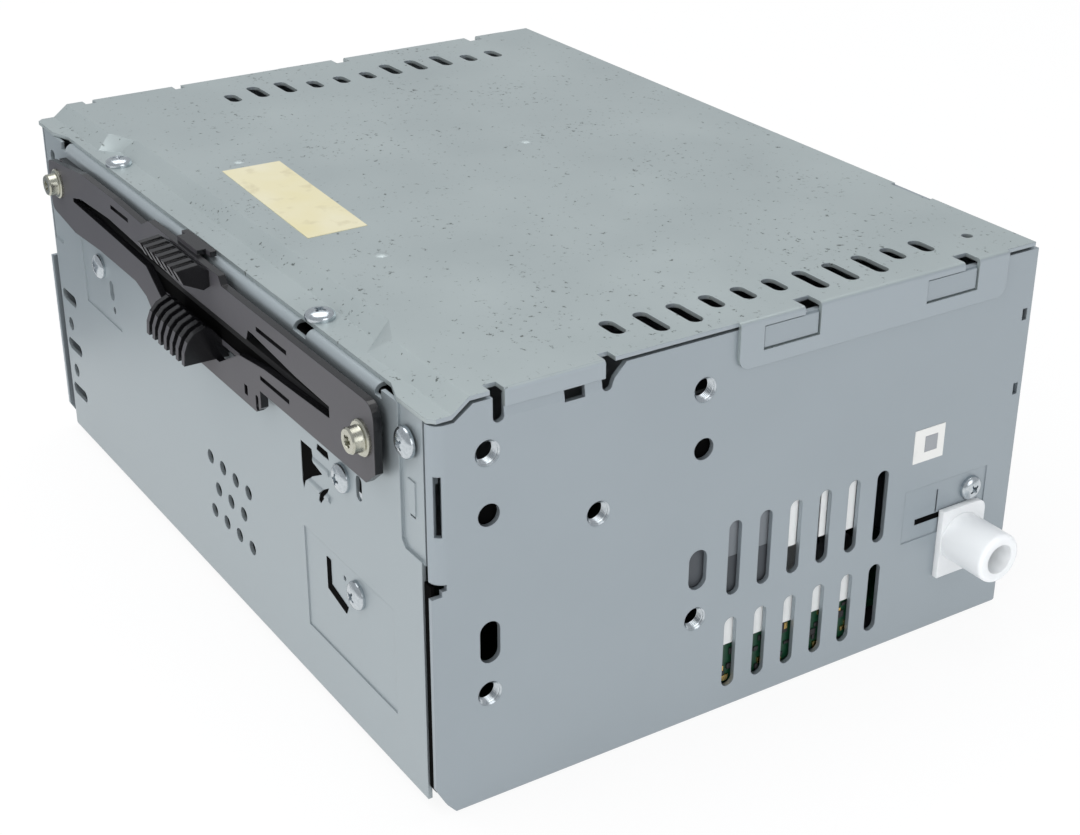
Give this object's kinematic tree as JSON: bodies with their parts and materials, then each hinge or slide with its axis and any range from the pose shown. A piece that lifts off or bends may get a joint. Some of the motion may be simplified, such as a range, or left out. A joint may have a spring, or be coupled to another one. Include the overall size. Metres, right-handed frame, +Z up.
{
  "type": "car disc player",
  "caption": "Slot-loading car CD player chassis in folded sheet steel, with a black disc guide on the front, side screw holes, aerial socket and a working loading mechanism.",
  "frame": {"origin": "middle of the underside of the case", "axes": "+X to the right when facing the front, -Y out of the disc slot, +Z up"},
  "size_m": [0.1929, 0.15, 0.0803],
  "materials": {
    "galvanised_steel": "satin zinc coat",
    "deck_steel": "satin",
    "zinc_screw": "bright zinc",
    "gold_screw": "pale yellow passivated",
    "black_moulding": "satin",
    "felt": "felt",
    "cast_aluminium": "extruded",
    "polished_steel": "ground",
    "white_moulding": "natural",
    "brass": "plated",
    "label_paper": "paper label",
    "rubber": "matt",
    "motor_can": "nickel plated",
    "turntable_plastic": "satin",
    "lens": "clear",
    "circuit_board": "solder mask",
    "tin_plate": "tinned",
    "capacitor_sleeve": "shrink sleeve",
    "chip_package": "epoxy",
    "ribbon_cable": "white ribbon"
  },
  "bodies": {
    "case": {"aerial_bracket": "galvanised_steel", "aerial_contact": "brass", "aerial_screw": "zinc_screw", "aerial_socket": "white_moulding", "arm_pin": "polished_steel", "board_bracket": "galvanised_steel", "board_chips": "chip_package", "board_screws": "zinc_screw", "capacitors": "capacitor_sleeve", "chassis": "galvanised_steel", "connector_pins": "brass", "cover_screws": "zinc_screw", "damper_bushes": "rubber", "damper_pins": "zinc_screw", "deck_plate": "deck_steel", "disc_guide": "black_moulding", "flat_cable": "ribbon_cable", "front_plate": "galvanised_steel", "front_screws": "zinc_screw", "gear_axles": "polished_steel", "guide_rods": "polished_steel", "guide_screws": "gold_screw", "heat_sink": "cast_aluminium", "loading_motor": "motor_can", "main_board": "circuit_board", "main_connector": "black_moulding", "mech_board": "circuit_board", "mech_frame": "galvanised_steel", "motor_cradle": "deck_steel", "pivot_rod": "polished_steel", "power_amp": "chip_package", "rear_plate": "galvanised_steel", "rear_screws": "zinc_screw", "sensing_pins": "polished_steel", "sled_motor": "motor_can", "slot_felts": "felt", "spindle_motor": "motor_can", "support_pin": "zinc_screw", "top_cover": "galvanised_steel", "top_label": "label_paper", "tuner_can": "tin_plate", "upper_disc_guide": "galvanised_steel", "wall_label": "label_paper"},
    "shift_rack": {"shift_rack": "black_moulding"},
    "clamp_arm": {"clamp_arm": "deck_steel"},
    "clamp_disc": {"clamp_disc": "black_moulding"},
    "roller_bracket": {"roller_bracket": "deck_steel"},
    "loading_roller": {"roller_shaft": "polished_steel", "loading_rollers": "rubber", "roller_gear": "white_moulding"},
    "idler_gear": {"idler_gear": "white_moulding"},
    "worm_wheel": {"worm_wheel": "white_moulding"},
    "motor_worm": {"motor_worm": "brass"},
    "turntable": {"turntable": "turntable_plastic", "turntable_pad": "rubber"},
    "pickup_sled": {"pickup_sled": "cast_aluminium", "pickup_lens": "lens"},
    "lead_screw": {"lead_screw": "polished_steel"},
    "sensing_arm_right": {"sensing_arm_right": "white_moulding"},
    "sensing_arm_left": {"sensing_arm_left": "white_moulding"}
  },
  "joints": [
    {"name": "rack_slide", "type": "slide", "parent": "case", "child": "shift_rack", "axis": [0, 1, 0], "range_m": [0, 0.007]},
    {"name": "clamp_arm_hinge", "type": "hinge", "parent": "case", "child": "clamp_arm", "pos_m": [0, 0.0628, 0.0735], "axis": [1, 0, 0], "range_deg": [0, 1.95]},
    {"name": "roller_bracket_hinge", "type": "hinge", "parent": "case", "child": "roller_bracket", "pos_m": [0, -0.044, 0.057], "axis": [1, 0, 0], "range_deg": [0, 15.6]},
    {"name": "loading_roller_spin", "type": "hinge", "parent": "roller_bracket", "child": "loading_roller", "pos_m": [0, -0.055, 0.064], "axis": [1, 0, 0], "continuous": true},
    {"name": "idler_spin", "type": "hinge", "parent": "case", "child": "idler_gear", "pos_m": [0.0715, -0.0522, 0.0727], "axis": [1, 0, 0], "continuous": true},
    {"name": "worm_wheel_spin", "type": "hinge", "parent": "case", "child": "worm_wheel", "pos_m": [0.0715, -0.041, 0.0681], "axis": [1, 0, 0], "continuous": true},
    {"name": "motor_worm_spin", "type": "hinge", "parent": "case", "child": "motor_worm", "pos_m": [0.0715, -0.04, 0.0574], "axis": [0, 1, 0], "continuous": true},
    {"name": "turntable_spin", "type": "hinge", "parent": "case", "child": "turntable", "pos_m": [0, 0, 0.064], "axis": [0, 0, 1], "continuous": true},
    {"name": "clamp_disc_spin", "type": "hinge", "parent": "clamp_arm", "child": "clamp_disc", "pos_m": [0, 0, 0.072], "axis": [0, 0, 1], "continuous": true},
    {"name": "sled_slide", "type": "slide", "parent": "case", "child": "pickup_sled", "axis": [-1, 0, 0], "range_m": [0, 0.034]},
    {"name": "lead_screw_spin", "type": "hinge", "parent": "case", "child": "lead_screw", "pos_m": [-0.04, -0.023, 0.053], "axis": [1, 0, 0], "continuous": true},
    {"name": "sensing_arm_right_hinge", "type": "hinge", "parent": "case", "child": "sensing_arm_right", "pos_m": [0.048, -0.03, 0.0727], "axis": [0, 0, 1], "range_deg": [0, 60], "stiffness_Nm_per_rad": 0.002},
    {"name": "sensing_arm_left_hinge", "type": "hinge", "parent": "case", "child": "sensing_arm_left", "pos_m": [-0.048, -0.03, 0.0727], "axis": [0, 0, 1], "range_deg": [-60, 0]}
  ],
  "couplings": [
    {"joint": "clamp_arm_hinge", "follows": "rack_slide", "rad_per_m": 4.7373},
    {"joint": "roller_bracket_hinge", "follows": "rack_slide", "rad_per_m": 38.647},
    {"joint": "idler_spin", "follows": "loading_roller_spin", "ratio": -1.25},
    {"joint": "worm_wheel_spin", "follows": "loading_roller_spin", "ratio": 0.625},
    {"joint": "motor_worm_spin", "follows": "loading_roller_spin", "ratio": 20},
    {"joint": "clamp_disc_spin", "follows": "turntable_spin", "ratio": 1},
    {"joint": "lead_screw_spin", "follows": "sled_slide", "rad_per_m": 1570.8},
    {"joint": "sensing_arm_left_hinge", "follows": "sensing_arm_right_hinge", "ratio": -1}
  ]
}
